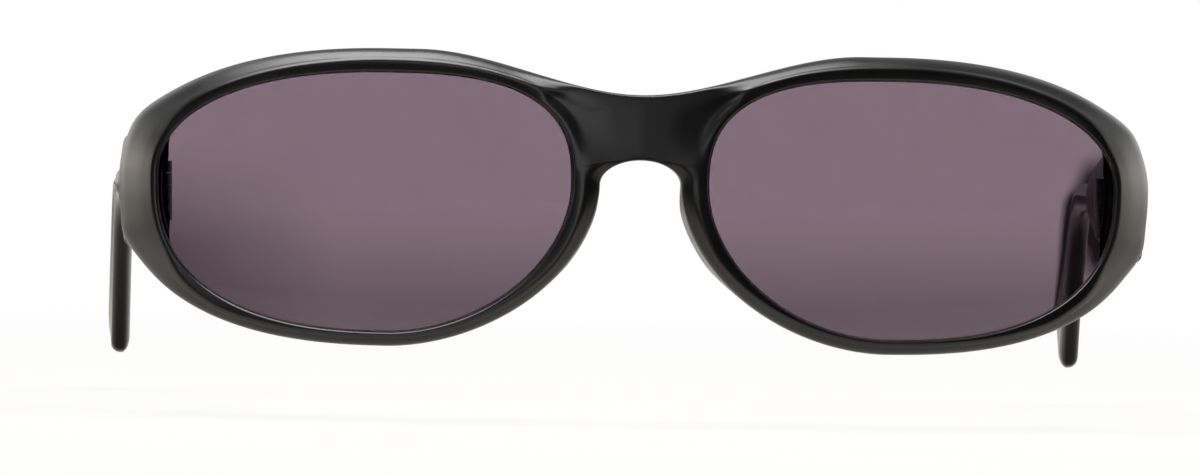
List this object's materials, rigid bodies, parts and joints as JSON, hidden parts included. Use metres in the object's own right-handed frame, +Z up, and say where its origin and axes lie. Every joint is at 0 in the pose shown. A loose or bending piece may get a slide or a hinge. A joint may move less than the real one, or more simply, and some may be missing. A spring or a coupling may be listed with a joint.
{
  "type": "sunglasses",
  "caption": "Oval wrap sunglasses with a thick black rim, tinted curved lenses and temples that fold on metal hinges.",
  "frame": {"origin": "middle of the nose gap, midway between the lenses, on the sphere that both lenses follow", "axes": "X across the face with the wearer's left at +X, the front looks along -Y and the open temples run along +Y, +Z up"},
  "size_m": [0.1402, 0.1554, 0.045],
  "materials": {
    "satin_black": "satin",
    "temple_black": "gloss",
    "tip_black": "gloss",
    "lens": "polished, plum grey tint",
    "hinge_metal": "black plated, satin",
    "screw_metal": "polished",
    "core_metal": "satin"
  },
  "bodies": {
    "front": {"front_frame": "satin_black", "left_lens": "lens", "right_lens": "lens", "left_front_hinge": "hinge_metal", "right_front_hinge": "hinge_metal", "left_hinge_screw": "screw_metal", "right_hinge_screw": "screw_metal"},
    "left_arm": {"left_temple": "temple_black", "left_temple_hinge": "hinge_metal", "left_temple_core": "core_metal", "left_temple_tip": "tip_black"},
    "right_arm": {"right_temple": "temple_black", "right_temple_hinge": "hinge_metal", "right_temple_core": "core_metal", "right_temple_tip": "tip_black"}
  },
  "joints": [
    {"name": "right_fold", "type": "hinge", "parent": "front", "child": "right_arm", "pos_m": [-0.0641, 0.0195, 0.0007], "axis": [0.0183, 0, -0.9998], "range_deg": [0, 91.6]},
    {"name": "left_fold", "type": "hinge", "parent": "front", "child": "left_arm", "pos_m": [0.0641, 0.0195, 0.0007], "axis": [-0.0384, 0, 0.9993], "range_deg": [0, 87.8]}
  ]
}
